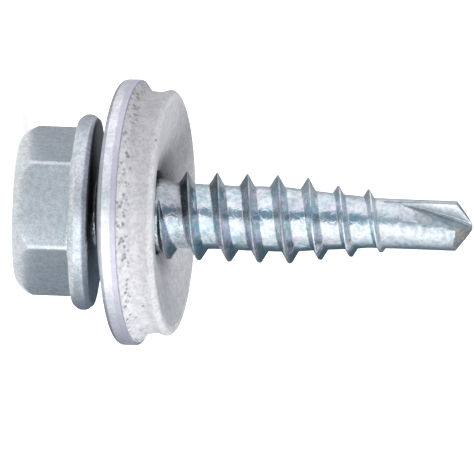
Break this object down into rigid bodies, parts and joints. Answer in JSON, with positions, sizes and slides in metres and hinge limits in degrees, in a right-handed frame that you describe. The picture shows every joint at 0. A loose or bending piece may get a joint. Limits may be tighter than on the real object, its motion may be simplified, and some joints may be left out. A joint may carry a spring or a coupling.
{
  "type": "self drilling screw",
  "caption": "Hexagon washer head self drilling screw with a right-hand thread, a fluted drill point and a loose bonded sealing washer.",
  "frame": {"origin": "centre of the head's flat top face, on which the screw stands", "axes": "+Z along the screw's axis from the head to the drill point; +Y is the side to which the loose washer gapes away from the flange"},
  "size_m": [0.014, 0.014, 0.0239],
  "materials": {
    "zinc_plated_steel": "bright zinc plating with a blue passivation",
    "galvanised_steel": "galvanised sheet steel, satin",
    "grey_rubber": "matt light grey rubber, finely pitted"
  },
  "bodies": {
    "screw": {"screw": "zinc_plated_steel"},
    "washer": {"metal_washer": "galvanised_steel", "sealing_ring": "grey_rubber"}
  },
  "joints": [
    {"name": "washer_spin", "type": "hinge", "parent": "screw", "child": "washer", "pos_m": [-0.00009, 0, 0.0062], "axis": [-0.0217, -0.1022, 0.9945], "continuous": true}
  ]
}
